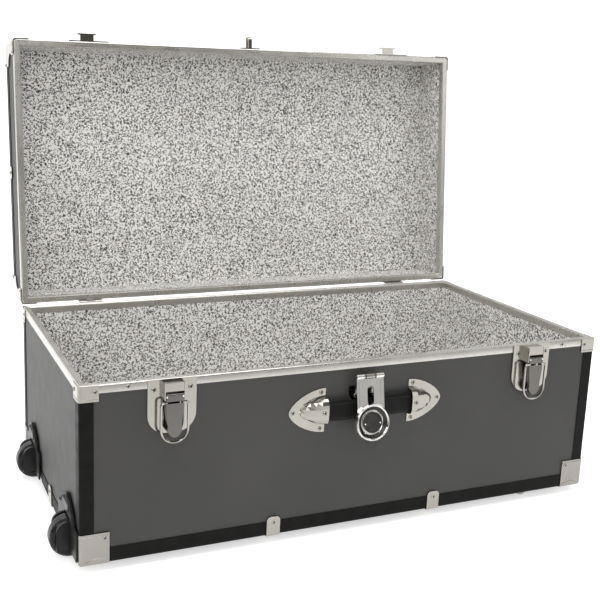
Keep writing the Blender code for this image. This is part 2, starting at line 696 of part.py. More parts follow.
def make_latches():
    y = -HALF_D
    for sx, side in ((-1, "left"), (1, "right")):
        x = sx * LATCH_X
        outline = [(x + u, z) for u, z in latch_plate_outline()]
        base = plate(f"latch_plate_{side}", "xz", [outline], y - PLATE_FRONT, y - PLATE_BACK, NICKEL)
        cheek_out = 0.0118
        cheek_profile = [(y - PLATE_BACK - 0.0002, 0.2055), (y - PLATE_BACK - 0.0002, 0.2268),
                         (y - 0.0140, 0.2268), (y - 0.0140, 0.2055)]
        cheeks = [plate(f"latch_cheek_{side}_{i}", "yz", [cheek_profile], x + s * cheek_out, x + s * (cheek_out + 0.0012))
                  for i, s in enumerate((-1, 1))]
        top = box(f"latch_bridge_top_{side}", (x - 0.0125, y - 0.0134, 0.2256),
                  (x + 0.0125, y - PLATE_BACK - 0.0002, 0.2267))
        front = box(f"latch_bridge_front_{side}", (x - 0.0125, y - 0.0134, 0.2160), (x + 0.0125, y - 0.0122, 0.2267))
        pivot = (x, y - LEVER_PIVOT_OUT, LEVER_PIVOT_Z)
        pin = cylinder(f"latch_pin_{side}", "x", pivot, 0.0015, 2 * cheek_out + 0.0012, steps=16)
        join(base, *cheeks, top, front, pin)

        lever_outer = [(x + u, z) for u, z in lever_outline(0)]
        lever_inner = [(x + u, z) for u, z in lever_outline(LEVER_WALL)]
        lever = plate(f"latch_lever_{side}", "xz", [lever_outer], y - LEVER_FRONT, y - 0.0060, NICKEL)
        hollow = plate(f"lever_hollow_{side}", "xz", [lever_inner], y - LEVER_FRONT + LEVER_WALL, y)
        open_top = box(f"lever_open_top_{side}", (x - LEVER_HALF_WIDTH + LEVER_WALL, y - LEVER_FRONT + LEVER_WALL, 0.2),
                       (x + LEVER_HALF_WIDTH - LEVER_WALL, y, 0.23))
        pivot_hole = cylinder(f"lever_pivot_hole_{side}", "x", pivot, 0.0019, 0.06, steps=16)
        bail_pivot = (x, y - BAIL_PIVOT_OUT, BAIL_PIVOT_Z)
        bail_hole = cylinder(f"lever_bail_hole_{side}", "x", bail_pivot, BAIL_WIRE + 0.0004, 0.06, steps=16)
        clip = box(f"lever_tip_clip_{side}", (x - 0.02, y - 0.0105, 0.15), (x + 0.02, y, 0.176))
        bead = cylinder(f"lever_bead_{side}", "x", (x, y - 0.0143, LEVER_PIVOT_Z + 0.0020), 0.0016,
                        2 * LEVER_HALF_WIDTH - 0.0004, steps=12)
        cut(lever, hollow, open_top, pivot_hole, bail_hole, clip)
        join(lever, bead)
        set_origin(lever, pivot)
        bail = wire(f"latch_bail_{side}", bail_points(x), BAIL_WIRE, NICKEL)
        set_origin(bail, bail_pivot)


def make_catches(pivot):
    y = -HALF_D
    low = LID_LOW + 0.0012
    high = 0.262
    z = CATCH_TONGUE_Z
    thick = 0.0015
    neck = 0.0105
    for sx, side in ((-1, "left"), (1, "right")):
        x = sx * LATCH_X
        half = LATCH_HALF_WIDTH
        corner = 0.005
        outline = [(x - half, low), (x + half, low)]
        outline += arc((x + half - corner, high - corner), corner, 0, 90, 4)
        outline += arc((x - half + corner, high - corner), corner, 90, 180, 4)
        catch = plate(f"latch_catch_{side}", "xz", [outline], y - PLATE_FRONT, y - PLATE_BACK, NICKEL)
        tongue_outline = [(x - neck, y - 0.002), (x - neck, y - 0.0125), (x - 0.0145, y - 0.0132),
                          (x - 0.0145, y - CATCH_REACH), (x + 0.0145, y - CATCH_REACH),
                          (x + 0.0145, y - 0.0132), (x + neck, y - 0.0125), (x + neck, y - 0.002)]
        tongue = plate(f"catch_tongue_{side}", "xy", [tongue_outline], z, z + thick)
        lip = box(f"catch_lip_{side}", (x - 0.0145, y - CATCH_REACH, z + 0.0002),
                  (x + 0.0145, y - CATCH_REACH + thick, z + 0.0062))
        join(catch, tongue, lip)
        for piece in (catch, tongue, lip):
            in_lid(piece, pivot)


# ---------------------------------------------------------------- hasp lock
def make_hasp_base():
    y = -HALF_D
    pin_y = y - HASP_PIN_OUT
    half = 0.024
    low = 0.1720
    corner = 0.016
    outline = [(-half, 0.1945), (-half, low + corner)] + arc((-half + corner, low + corner), corner, 180, 270, 6)
    outline += arc((half - corner, low + corner), corner, 270, 360, 6) + [(half, 0.1945)]
    base = plate("hasp_base", "xz", [outline], y - PLATE_FRONT + 0.001, y - PLATE_BACK + 0.001, NICKEL)
    slope = [(y - 0.0005, 0.1900), (y - 0.0015, 0.1945), (pin_y + 0.001, 0.2105), (pin_y - 0.001, 0.2090),
             (y - 0.0022, 0.1900)]
    ramp = plate("hasp_ramp", "yz", [slope], -0.0088, 0.0088)
    knuckle = cylinder("hasp_centre_knuckle", "x", (0, pin_y, HASP_PIN_Z), 0.0031, 0.0176)
    pin = cylinder("hasp_pin", "x", (0, pin_y, HASP_PIN_Z), 0.0015, 0.0390, steps=16)
    join(base, ramp, knuckle, pin)


def make_hasp(pivot):
    """Modelled hanging straight down from its pin; the pivot leans it out."""
    half = HASP_HALF_WIDTH
    merge = math.degrees(math.asin(half / LOCK_RADIUS))
    shoulder = LOCK_DROP - LOCK_RADIUS * math.cos(math.radians(merge))
    outline = [(-half, -0.002), (half, -0.002), (half, -shoulder)]
    outline += arc((0, -LOCK_DROP), LOCK_RADIUS, 90 - merge, -270 + merge, 24)
    slot_mid = (SLOT_NEAR + SLOT_HALF_WIDTH, SLOT_FAR - SLOT_HALF_WIDTH)
    slot = arc((0, -slot_mid[0]), SLOT_HALF_WIDTH, 0, 180, 8)
    slot += arc((0, -slot_mid[1]), SLOT_HALF_WIDTH, 180, 360, 8)
    thick = HASP_THICKNESS / 2
    hasp = plate("hasp_plate", "xz", [outline, slot], -thick, thick, NICKEL, pivot)
    knuckles = [cylinder(f"hasp_outer_knuckle_{i}", "x", (s * 0.01455, 0, 0), 0.0031, 0.0109, None, pivot)
                for i, s in enumerate((-1, 1))]
    bore = cylinder("hasp_bore", "x", (0, 0, 0), 0.0019, 0.06, None, pivot, 16)
    room = box("hasp_knuckle_room", (-0.0091, -0.01, -0.0036), (0.0091, 0.01, 0.01), None, pivot)
    dish_profile = [(0, 0.0026), (0.0136, 0.0026), (0.0142, 0.0022), (0.0146, 0.0008), (0.0160, 0.0008),
                    (0.0215, 0.0048), (0.0228, 0.0054), (0.0240, 0.0050), (LOCK_RADIUS, 0.0040),
                    (LOCK_RADIUS, -0.0006), (0, -0.0006)]
    dish = turned("lock_dish_form", "y", (0, -thick, -LOCK_DROP), dish_profile, False, None, pivot)
    dish.rotation_euler = (math.radians(90), 0, 0)
    cover_back = thick - 0.0002
    cover_profile = [(0.0062, 0.0050), (0.0190, 0.0046), (0.0232, 0.0030), (LOCK_RADIUS - 0.0005, 0.0),
                     (LOCK_RADIUS - 0.0020, 0.0), (0.0222, 0.0020), (0.0186, 0.0034), (0.0062, 0.0038)]
    cover = turned("lock_cover_form", "y", (0, cover_back, -LOCK_DROP), cover_profile, True, None, pivot)
    mouth = box("lock_cover_mouth", (-0.021, thick, -LOCK_DROP + 0.008), (0.021, 0.003 + thick, 0), None, pivot)
    ridges = [box(f"hasp_ridge_{i}", (s * 0.0158 - 0.0009, -thick - 0.0006, -0.0440),
                  (s * 0.0158 + 0.0009, 0, -0.0065), None, pivot) for i, s in enumerate((-1, 1))]
    join(hasp, *ridges, dish, cover, *knuckles)
    cut(hasp, room, bore, mouth)


def make_lock_works(pivot):
    """The key plug, and the bolt that it slides sideways through the staple's eye."""
    back = HASP_THICKNESS / 2 + 2 * GAP
    plug = turned("key_cylinder", "y", (0, back, -LOCK_DROP), [(0, 0.0064), (0.0052, 0.0064), (0.0057, 0.0058),
                  (0.0057, 0.0), (0, 0.0)], False, NICKEL, pivot, 24)
    keyway = box("keyway", (-0.0006, back + 0.0035, -LOCK_DROP - 0.0032), (0.0006, back + 0.02, -LOCK_DROP + 0.0032),
                 None, pivot)
    cut(plug, keyway)
    reach = LOCK_DROP - (STAPLE_LOW + STAPLE_HIGH) / 2 + HASP_PIN_Z
    near = STAPLE_HALF_WIDTH + 0.0015
    stem = near + 0.0070
    outline = [(near, reach - 0.002), (stem, reach - 0.002), (stem, 0.0068), (stem + 0.005, 0.0068),
               (stem + 0.005, reach + 0.002), (near, reach + 0.002)]
    bolt = plate("lock_bolt", "xz", [outline], back, back + 0.0018, NICKEL, pivot)
    bolt.location.z = -LOCK_DROP


def make_staple(pivot):
    y = -HALF_D
    low = LID_LOW + 0.0012
    half = 0.017
    outline = [(-half, low), (half, low), (half, 0.250)]
    outline += [(half - 0.008, 0.257), (-half + 0.008, 0.257), (-half, 0.250)]
    staple = plate("lock_staple", "xz", [outline], y - PLATE_FRONT, y - PLATE_BACK, NICKEL)
    middle = (STAPLE_LOW + STAPLE_HIGH) / 2
    outer = (STAPLE_HIGH - STAPLE_LOW) / 2
    inner = outer - 0.0020
    crown = y - STAPLE_REACH + outer
    foot = y - PLATE_BACK - 0.0002
    loop = [(foot, middle + outer)] + arc((crown, middle), outer, 90, 270, 10) + [(foot, middle - outer)]
    eye_foot = y - PLATE_FRONT - 0.0001
    eye = [(eye_foot, middle + inner)] + arc((crown, middle), inner, 90, 270, 10) + [(eye_foot, middle - inner)]
    strap = plate("staple_loop", "yz", [loop, eye], -STAPLE_HALF_WIDTH, STAPLE_HALF_WIDTH)
    join(staple, strap)
    for piece in (staple, strap):
        in_lid(piece, pivot)


# ---------------------------------------------------------------- strap handles
def cap_outline(edge):
    """A handle cap's flat plate: straight at the strap's side, round at the tip; (x, z) with the tip at -x."""
    straight = 0.004
    steps = 16
    power = 2 / CAP_POINT
    points = [(edge, -CAP_HALF_HEIGHT), (edge, CAP_HALF_HEIGHT)]
    for i in range(steps + 1):
        a = math.pi * i / steps
        along = math.sin(a) ** power if 0 < i < steps else 0.0
        up = math.copysign(abs(math.cos(a)) ** power, math.cos(a))
        points.append((edge - straight - (CAP_LENGTH - straight) * along, CAP_HALF_HEIGHT * up))
    return points


def pocket_form(name, centre, size, parent):
    """The domed pocket: square-shouldered across, pointed along the strap."""
    bm = bmesh.new()
    bmesh.ops.create_uvsphere(bm, u_segments=24, v_segments=12, radius=1.0)
    for vert in bm.verts:
        n = vert.co.normalized()
        across = (n.y ** 4 + n.z ** 4) ** (CAP_POINT / 4)
        radial = (abs(n.x) ** CAP_POINT + across) ** (-1 / CAP_POINT)
        vert.co = Vector((n.x * size[0], n.y * size[1], n.z * size[2])) * radial
    obj = add_object(name, mesh_from(bm, name), None, parent)
    obj.location = centre
    return obj


def make_cap(name, mount, mirror):
    """One end cap; its wall plane is the mount's y = 0 and the outside is -y."""
    edge = -HANDLE_HALF_GAP
    holder = add_empty(f"{name}_place", (0, 0, 0), (0, 0, 0), mount)
    side = -1 if mirror else 1
    outline = [(side * x, z) for x, z in cap_outline(edge)]
    cap = plate(name, "xz", [outline], -0.0014, -GAP, NICKEL, holder)
    middle = (side * edge, 0, 0)
    size = (POCKET_LENGTH, POCKET_REACH, POCKET_HALF_HEIGHT)
    pocket = pocket_form(f"{name}_pocket", middle, size, holder)
    inside = pocket_form(f"{name}_inside", middle, [v - POCKET_WALL for v in size], holder)
    step_size = (POCKET_LENGTH + STEP_WIDTH, STEP_REACH, POCKET_HALF_HEIGHT + STEP_WIDTH)
    step = pocket_form(f"{name}_step", middle, step_size, holder)
    near = side * edge
    far = side * (edge + 0.1)
    open_side = box(f"{name}_open_side", (min(near, far), -0.1, -0.1), (max(near, far), 0.1, 0.1), None, holder)
    wall_side = box(f"{name}_wall_side", (-0.3, -GAP, -0.1), (0.3, 0.1, 0.1), None, holder)
    join(cap, step, pocket)
    cut(cap, inside, open_side, wall_side)


def strap_outline():
    """The strap seen from above: thin, bowed away from the wall."""
    half = HANDLE_HALF_GAP + 0.007
    steps = 12
    inner = []
    for i in range(steps + 1):
        x = -half + 2 * half * i / steps
        bow = STRAP_BOW * (1 - (x / half) ** 2)
        inner.append((x, -STRAP_STANDOFF - bow))
    outer = [(x, y - STRAP_THICKNESS) for x, y in reversed(inner)]
    return inner + outer


def make_handle(prefix, mount):
    make_cap(f"{prefix}_cap_left", mount, False)
    make_cap(f"{prefix}_cap_right", mount, True)
    plate(f"{prefix}_strap", "xy", [strap_outline()], -STRAP_HALF_HEIGHT, STRAP_HALF_HEIGHT, STRAP_VINYL, mount)


# ---------------------------------------------------------------- assembly
def build():
    make_base_boards()
    make_base_lining()
    rim_ring("base_rim", BASE_HEIGHT - RIM_HEIGHT, BASE_HEIGHT, True, None)
    make_base_binding()
    make_base_corners()
    make_wheels()
    make_glides()
    make_latches()
    make_hasp_base()

    lid_pivot = add_empty("lid_pivot", HINGE_AXIS)
    make_lid_boards(lid_pivot)
    make_lid_lining(lid_pivot)
    rim_ring("lid_rim", LID_LOW, LID_LOW + RIM_HEIGHT, False, lid_pivot)
    make_lid_binding(lid_pivot)
    make_lid_corners(lid_pivot)
    make_hinges(lid_pivot)
    make_catches(lid_pivot)
    make_staple(lid_pivot)
    lid_pivot.rotation_euler.x = -math.radians(LID_OPEN)

    hasp_pivot = add_empty("hasp_pivot", (0, -HALF_D - HASP_PIN_OUT, HASP_PIN_Z), (-HASP_TILT, 0, 0))
    make_hasp(hasp_pivot)
    make_lock_works(hasp_pivot)

    make_handle("front_handle", add_empty("front_handle_mount", (HANDLE_X, -HALF_D, HANDLE_Z)))
    make_handle("end_handle", add_empty("end_handle_mount", (HALF_W, 0, END_HANDLE_Z), (0, 0, 90)))


build()
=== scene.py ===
import json
import math

import bmesh
import bpy
from mathutils import Matrix, Vector


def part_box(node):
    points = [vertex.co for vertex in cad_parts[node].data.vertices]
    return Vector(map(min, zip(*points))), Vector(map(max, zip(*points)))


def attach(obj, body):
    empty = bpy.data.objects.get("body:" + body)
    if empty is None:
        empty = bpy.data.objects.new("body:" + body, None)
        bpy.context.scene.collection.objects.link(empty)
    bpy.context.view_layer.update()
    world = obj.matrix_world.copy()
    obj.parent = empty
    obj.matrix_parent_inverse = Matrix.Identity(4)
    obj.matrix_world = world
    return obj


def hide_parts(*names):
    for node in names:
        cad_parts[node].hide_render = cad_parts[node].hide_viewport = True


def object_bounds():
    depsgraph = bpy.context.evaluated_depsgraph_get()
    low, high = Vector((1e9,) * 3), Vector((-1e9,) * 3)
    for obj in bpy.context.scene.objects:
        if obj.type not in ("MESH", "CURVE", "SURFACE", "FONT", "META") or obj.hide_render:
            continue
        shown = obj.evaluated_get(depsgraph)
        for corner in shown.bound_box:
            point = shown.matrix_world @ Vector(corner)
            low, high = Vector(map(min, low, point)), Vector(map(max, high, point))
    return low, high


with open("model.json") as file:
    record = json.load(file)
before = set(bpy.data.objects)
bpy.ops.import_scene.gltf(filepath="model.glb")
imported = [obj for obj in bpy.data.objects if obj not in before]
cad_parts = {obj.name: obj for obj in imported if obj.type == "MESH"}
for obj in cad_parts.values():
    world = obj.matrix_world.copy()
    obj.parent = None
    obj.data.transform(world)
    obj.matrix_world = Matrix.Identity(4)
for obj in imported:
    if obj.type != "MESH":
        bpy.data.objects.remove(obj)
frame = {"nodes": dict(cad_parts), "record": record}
NODES = frame["nodes"]
cad_box = [list(v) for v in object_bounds()]


# ------------------------------------------------------------------ the case, lid closed, in metres
HALF_W, HALF_D = 0.380, 0.199   # half the width and the depth over the boards
CORNER = 0.004             # radius of the upright corners
BASE_TOP = 0.229           # top of the base's boards
LID_EDGE = 0.230           # the closed lid's lower edge
LID_TOP = 0.311            # the closed lid's top
CAP_OUT = 0.0021           # face of a corner cap or bracket, out from the boards
PLATE_OUT = 0.0025         # face of a latch, catch or hinge plate, out from the boards
BEAD_RADIUS = 0.0007       # pressed beads round the corner pieces
LATCH_X = 0.267
HINGE_X, HINGE_Y, HINGE_Z = 0.275, 0.203, 0.228
LID_OPEN = math.radians(-95.5)
HASP_PIN = (0, -0.2115, 0.210)
HASP_TILT = math.radians(-10)
LOCK_DROP = 0.061          # hasp pin to the lock's centre
WHEEL_X, WHEEL_Z = -0.381, 0.015
STRAP_HALF = 0.0695        # half a handle strap's length
CAP_EDGE = 0.0625          # a strap's middle to the open edge of each end cap
HANDLES = (("front_handle", "F", 0.0045, 0.1655), ("end_handle", "R", 0.0, 0.1300))
STILL = Matrix.Identity(4)


# ------------------------------------------------------------------ material helpers
class Graph:
    """A material's node tree, with short calls for the nodes used here."""

    def __init__(self, name, color, roughness, metallic=0.0):
        self.material = bpy.data.materials.new(name)
        self.material.use_nodes = True
        self.tree = self.material.node_tree
        self.shader = self.tree.nodes["Principled BSDF"]
        self.set(self.shader, "Base Color", (*color, 1))
        self.set(self.shader, "Roughness", roughness)
        self.set(self.shader, "Metallic", metallic)
        self.coords = self.tree.nodes.new("ShaderNodeTexCoord").outputs["Object"]

    def set(self, node, socket, value):
        if isinstance(value, bpy.types.NodeSocket):
            self.tree.links.new(value, node.inputs[socket])
        else:
            node.inputs[socket].default_value = value

    def scaled(self, scale):
        node = self.tree.nodes.new("ShaderNodeMapping")
        self.set(node, "Vector", self.coords)
        node.inputs["Scale"].default_value = scale
        return node.outputs["Vector"]

    def warped(self, scale, amount):
        """Object coordinates pushed about by a soft noise, amount metres at most each way."""
        noise = self.tree.nodes.new("ShaderNodeTexNoise")
        self.set(noise, "Vector", self.coords)
        self.set(noise, "Scale", scale)
        self.set(noise, "Detail", 0.0)
        push = self.tree.nodes.new("ShaderNodeVectorMath")
        push.operation = "MULTIPLY_ADD"
        self.set(push, 0, noise.outputs["Color"])
        self.set(push, 1, (amount, amount, amount))
        self.set(push, 2, self.coords)
        return push.outputs["Vector"]

    def noise(self, scale, detail=3.0, rough=0.55, vector=None):
        node = self.tree.nodes.new("ShaderNodeTexNoise")
        self.set(node, "Vector", vector or self.coords)
        self.set(node, "Scale", scale)
        self.set(node, "Detail", detail)
        self.set(node, "Roughness", rough)
        return node.outputs["Fac"]

    def voronoi(self, scale, feature="F1", vector=None):
        node = self.tree.nodes.new("ShaderNodeTexVoronoi")
        node.feature = feature
        self.set(node, "Vector", vector or self.coords)
        self.set(node, "Scale", scale)
        return node.outputs["Distance"]

    def map(self, value, low, high, to_low=0.0, to_high=1.0):
        node = self.tree.nodes.new("ShaderNodeMapRange")
        for socket, v in (("Value", value), ("From Min", low), ("From Max", high),
                          ("To Min", to_low), ("To Max", to_high)):
            self.set(node, socket, v)
        return node.outputs["Result"]

    def times(self, value, factor):
        node = self.tree.nodes.new("ShaderNodeMath")
        node.operation = "MULTIPLY"
        self.set(node, 0, value)
        self.set(node, 1, factor)
        return node.outputs[0]

    def mix(self, factor, a, b):
        node = self.tree.nodes.new("ShaderNodeMix")
        node.data_type = "RGBA"
        self.set(node, "Factor", factor)
        for socket, value in ((node.inputs[6], a), (node.inputs[7], b)):
            if isinstance(value, bpy.types.NodeSocket):
                self.tree.links.new(value, socket)
            else:
                socket.default_value = (*value, 1)
        return node.outputs[2]

    def bump(self, height, strength, distance, below=None):
        node = self.tree.nodes.new("ShaderNodeBump")
        self.set(node, "Height", height)
        self.set(node, "Strength", strength)
        self.set(node, "Distance", distance)
        if below is not None:
            self.set(node, "Normal", below)
        return node.outputs["Normal"]

    def color(self, value):
        self.set(self.shader, "Base Color", value)

    def rough(self, value):
        self.set(self.shader, "Roughness", value)

    def normal(self, value):
        self.set(self.shader, "Normal", value)


def nickel_material(name, color, low, high, wave=0.14):
    g = Graph(name, color, 0.25, 1.0)
    scratch = g.noise(1.0, 3, 0.6, g.scaled((90, 90, 1400)))
    g.rough(g.map(g.noise(38, 4), 0.3, 0.7, low, high))
    dull = [c * 0.90 for c in color]
    g.color(g.mix(g.map(g.noise(22, 5, 0.65), 0.45, 0.75), color, dull))
    wavy = g.bump(g.noise(16, 1), wave, 0.0010)
    g.normal(g.bump(scratch, 0.03, 0.0001, wavy))
    return g.material


def board_material():
    g = Graph("board_facing", (0.047, 0.046, 0.044), 0.42)
    color = g.mix(g.map(g.noise(9, 2, 0.5), 0.3, 0.7), (0.043, 0.0425, 0.0412), (0.050, 0.0492, 0.0475))
    color = g.mix(g.map(g.noise(900, 2), 0.45, 0.75, 0, 0.12), color, (0.034, 0.0335, 0.032))
    g.color(color)
    g.set(g.shader, "Specular IOR Level", 0.35)
    g.rough(g.map(g.noise(40, 1), 0.3, 0.7, 0.48, 0.52))
    g.normal(g.bump(g.noise(520, 3), 0.03, 0.0002))
    return g.material


def binding_material():
    g = Graph("vulcanised_binding", (0.014, 0.0135, 0.013), 0.5)
    color = g.mix(g.map(g.noise(60, 5), 0.3, 0.75), (0.0045, 0.0044, 0.0042), (0.0095, 0.0090, 0.0085))
    g.color(g.mix(g.map(g.noise(500, 2), 0.64, 0.8, 0, 0.4), color, (0.022, 0.021, 0.020)))
    g.set(g.shader, "Specular IOR Level", 0.10)
    g.rough(g.map(g.noise(80, 3), 0.3, 0.7, 0.40, 0.55))
    g.normal(g.bump(g.noise(700, 3), 0.25, 0.0004))
    return g.material


def lining_material():
    g = Graph("flecked_lining", (0.62, 0.605, 0.585), 0.85)
    paper = g.mix(g.map(g.noise(25, 4), 0.3, 0.7), (0.78, 0.765, 0.74), (0.86, 0.845, 0.82))
    fleck = g.map(g.voronoi(345, vector=g.warped(310, 0.0062)), 0.405, 0.500, 1.0, 0.0)
    g.color(g.mix(g.times(fleck, 0.96), paper, (0.016, 0.0155, 0.015)))
    g.normal(g.bump(g.noise(600, 3), 0.20, 0.0003))
    return g.material


def plastic_material(name, color, low, high, grain):
    g = Graph(name, color, 0.35)
    lighter = [c * 1.6 for c in color]
    g.color(g.mix(g.map(g.noise(70, 4), 0.4, 0.75), color, lighter))
    g.set(g.shader, "Specular IOR Level", 0.26)
    g.rough(g.map(g.noise(55, 4), 0.3, 0.7, low, high))
    g.normal(g.bump(g.noise(grain, 2), 0.10, 0.0002))
    return g.material


def vinyl_material():
    g = Graph("grained_vinyl", (0.012, 0.0115, 0.011), 0.5)
    crease = g.map(g.voronoi(620, "DISTANCE_TO_EDGE"), 0.0, 0.22)
    color = g.mix(g.map(g.noise(90, 4), 0.35, 0.7), (0.006, 0.0058, 0.0056), (0.012, 0.0115, 0.011))
    # painted shade: the grain's creases are coloured darker
    g.color(g.mix(crease, (0.003, 0.0029, 0.0028), color))
    g.set(g.shader, "Specular IOR Level", 0.14)
    g.rough(g.map(g.noise(120, 3), 0.3, 0.7, 0.42, 0.60))
    g.normal(g.bump(crease, 0.40, 0.0004))
    return g.material


def dial_material():
    """The lock's dark dial: cast, with a fine knurl."""
    g = Graph("lock_dial", (0.060, 0.057, 0.052), 0.42, 0.6)
    knurl = g.map(g.voronoi(950, "DISTANCE_TO_EDGE"), 0.0, 0.3)
    color = g.mix(g.map(g.noise(160, 4), 0.4, 0.7), (0.045, 0.043, 0.040), (0.095, 0.090, 0.083))
    # painted shade: the knurl's grooves are coloured darker
    g.color(g.mix(knurl, (0.020, 0.019, 0.018), color))
    g.normal(g.bump(knurl, 0.5, 0.0004))
    return g.material


NICKEL = nickel_material("satin_nickel", (0.40, 0.381, 0.348), 0.11, 0.19, 0.25)
# painted highlight: the same nickel made much brighter, a lit copy for parts that should shine
HIGHLIGHT_NICKEL = nickel_material("highlight_nickel", (0.82, 0.805, 0.775), 0.08, 0.16)
# painted shade: the same nickel made darker, a shaded copy for the latch levers
LEVER_SHADE_NICKEL = nickel_material("lever_shade_nickel", (0.15, 0.143, 0.133), 0.18, 0.28)
# painted shade: a near-black copy of the nickel, for rivet dimples, knuckle gaps and the lock's slope
SHADED = nickel_material("shaded_nickel", (0.05, 0.048, 0.045), 0.25, 0.40)
# painted shade: the same nickel made darker for the bottom caps
CAP_SHADE_NICKEL = nickel_material("cap_shade_nickel", (0.32, 0.305, 0.28), 0.10, 0.18, 1.0)
# painted highlight: the same nickel made brighter for the rim channels
RIM_HIGHLIGHT_NICKEL = nickel_material("rim_highlight_nickel", (0.60, 0.585, 0.55), 0.24, 0.32, 0.05)
BOARD = board_material()
BINDING = binding_material()
LINING = lining_material()
PLASTIC = plastic_material("moulded_plastic", (0.007, 0.007, 0.007), 0.28, 0.40, 800)
RUBBER = plastic_material("wheel_rubber", (0.006, 0.006, 0.006), 0.20, 0.32, 500)
VINYL = vinyl_material()
THREAD = plastic_material("black_thread", (0.030, 0.029, 0.028), 0.55, 0.75, 2500)
DIAL = dial_material()

SLOT_FINISH = {
    "grey_board": BOARD, "nickel": NICKEL, "black_binding": BINDING, "lining_paper": LINING,
    "black_plastic": PLASTIC, "wheel_rubber": RUBBER, "strap_vinyl": VINYL,
}
for entry in frame["record"]["subparts"]:
    obj = NODES[entry["node"]]
    for material_slot in obj.material_slots:
        material_slot.material = SLOT_FINISH[entry["material_slot"]]
for side in ("left", "right"):
    # the latch levers in the darkened nickel, painted shade
    NODES[f"latch_lever_{side}"].material_slots[0].material = LEVER_SHADE_NICKEL
    for end in ("front", "back"):
        # the bottom caps in the darkened nickel, painted shade
        NODES[f"base_corner_cap_{end}_{side}"].material_slots[0].material = CAP_SHADE_NICKEL
# the hasp plate in the brightened nickel, a painted highlight
NODES["hasp_plate"].material_slots[0].material = HIGHLIGHT_NICKEL


# ------------------------------------------------------------------ geometry helpers
def new_piece(name, bm, material, body, sharp=40):
    """A piece of the object that rides on a body, smooth but for edges above the sharp angle."""
    bmesh.ops.recalc_face_normals(bm, faces=bm.faces[:])
    mesh = bpy.data.meshes.new(name)
    bm.to_mesh(mesh)
    bm.free()
    mesh.materials.append(material)
    mesh.shade_smooth()
    mesh.set_sharp_from_angle(angle=math.radians(sharp))
    obj = bpy.data.objects.new(name, mesh)
    bpy.context.scene.collection.objects.link(obj)
    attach(obj, body)
    return obj


def frame_at(point, normal, along=(0, 0, 1)):
    """A matrix at a point whose Z is the normal and whose X is near along."""
    z = Vector(normal).normalized()
    x = (Vector(along) - Vector(along).dot(z) * z).normalized()
    y = z.cross(x)
    return Matrix.Translation(point) @ Matrix((x, y, z)).transposed().to_4x4()


def lathe(bm, profile, matrix, steps=20):
    """Turns (radius, height) points about the matrix's Z; a radius of 0 closes that end."""
    rings = []
    for radius, height in profile:
        if radius < 1e-7:
            rings.append([bm.verts.new(matrix @ Vector((0, 0, height)))])
            continue
        ring = []
        for i in range(steps):
            a = 2 * math.pi * i / steps
            ring.append(bm.verts.new(matrix @ Vector((radius * math.cos(a), radius * math.sin(a), height))))
        rings.append(ring)
    for low, high in zip(rings, rings[1:]):
        for i in range(steps):
            j = (i + 1) % steps
            corners = [low[i % len(low)], low[j % len(low)], high[j % len(high)], high[i % len(high)]]
            unique = list(dict.fromkeys(corners))
            if len(unique) > 2:
                bm.faces.new(unique)
    return rings


def lathe_ring(bm, profile, matrix, steps):
    """As lathe, with the profile's last point joined to its first, for a ring."""
    rings = lathe(bm, profile, matrix, steps)
    for k in range(steps):
        j = (k + 1) % steps
        bm.faces.new((rings[-1][k], rings[-1][j], rings[0][j], rings[0][k]))


def rivet_profile(radius):
    """A domed rivet head with a shallow dimple, its foot sunk into the plate."""
    return [(0, -0.0006), (radius, -0.0006), (radius, 0.0002),
            (radius * 0.93, 0.0007), (radius * 0.70, 0.0012),
            (radius * 0.46, 0.0013), (radius * 0.34, 0.0005), (radius * 0.15, 0.0003), (0, 0.0003)]


def rivets(name, places, body, radius):
    """Rivet heads at (point on the plate, normal), each with its dimple painted dark as shade."""
    bm = bmesh.new()
    for point, normal in places:
        known = set(bm.faces)
        matrix = frame_at(point, normal, (0.3, 0.2, 1))
        lathe(bm, rivet_profile(radius), matrix, 16)
        back = matrix.inverted()
        for face in set(bm.faces) - known:
            centre = back @ face.calc_center_median()
            if centre.z > 0 and Vector((centre.x, centre.y)).length < 0.40 * radius:
                # painted shade: the dimple's faces take the near-black nickel
                face.material_index = 1
    piece = new_piece(name, bm, NICKEL, body)
    piece.data.materials.append(SHADED)


def tube(name, points, radius, material, body, closed=False):
    """A piece that is one round wire through the points."""
    bm = bmesh.new()
    add_tube(bm, points, radius, closed)
    return new_piece(name, bm, material, body, 50)


def add_tube(bm, points, radius, closed=False, sides=10):
    """Adds a round wire through the points, a loop if closed."""
    points = [Vector(p) for p in points]
    count = len(points)
    rings = []
    up = None
    for i, p in enumerate(points):
        before = points[i - 1] if (i or closed) else p
        after = points[(i + 1) % count] if (i < count - 1 or closed) else p
        direction = (after - before).normalized()
        if up is None:
            up = direction.orthogonal().normalized()
        up = (up - up.dot(direction) * direction).normalized()
        side = direction.cross(up)
        ring = []
        for k in range(sides):
            a = 2 * math.pi * k / sides
            ring.append(bm.verts.new(p + radius * (math.cos(a) * up + math.sin(a) * side)))
        rings.append(ring)
    pairs = list(zip(rings, rings[1:]))
    if closed:
        pairs.append((rings[-1], rings[0]))
    for low, high in pairs:
        for k in range(sides):
            bm.faces.new((low[k], low[(k + 1) % sides], high[(k + 1) % sides], high[k]))
    if not closed:
        bm.faces.new(rings[0])
        bm.faces.new(rings[-1])


def lid_matrix():
    """From the closed lid's place to its open rest place."""
    axis = Vector((0, HINGE_Y, HINGE_Z))
    turn = Matrix.Rotation(LID_OPEN, 4, "X")
    return Matrix.Translation(axis) @ turn @ Matrix.Translation(-axis)


LID = lid_matrix()


